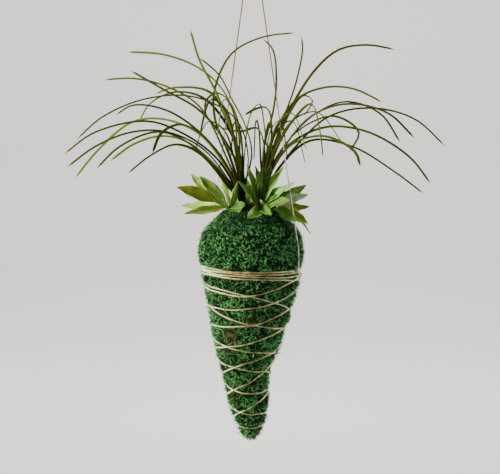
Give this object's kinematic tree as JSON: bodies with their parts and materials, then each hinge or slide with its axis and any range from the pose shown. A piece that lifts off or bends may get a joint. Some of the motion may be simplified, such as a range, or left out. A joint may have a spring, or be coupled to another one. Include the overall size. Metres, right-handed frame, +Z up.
{
  "type": "hanging moss ball planter",
  "caption": "Hanging moss ball planter: a tall moss-wrapped root ball laced with twine, with arching rushes and a collar of glossy leaves, held by a looped twine hanger.",
  "frame": {"origin": "inside of the hanging loop's crown, where it bears on its hook", "axes": "+Z up along the hanger, +X to the right seen from the front, +Y towards the back"},
  "size_m": [0.425, 0.2388, 0.5844],
  "materials": {
    "moss": "matt living moss, dense curled fibres",
    "soil": "damp dark potting soil",
    "twine": "natural twisted jute twine",
    "rush": "satin rush leaves, reddish brown at the foot",
    "broad_leaf": "waxy, glossy leaves"
  },
  "bodies": {
    "root": {"moss_jacket": "moss", "soil_core": "soil", "twine_lacing": "twine", "anchor_knot_right": "twine", "anchor_knot_left": "twine", "hanger_strand_left": "twine", "hanger_strand_right": "twine", "hanging_loop": "twine", "rush_clump_left": "rush", "rush_clump_right": "rush", "leaf_sprig_left": "broad_leaf", "leaf_rosette_front": "broad_leaf", "leaf_sprig_right": "broad_leaf", "leaf_sprig_back": "broad_leaf"}
  },
  "joints": []
}
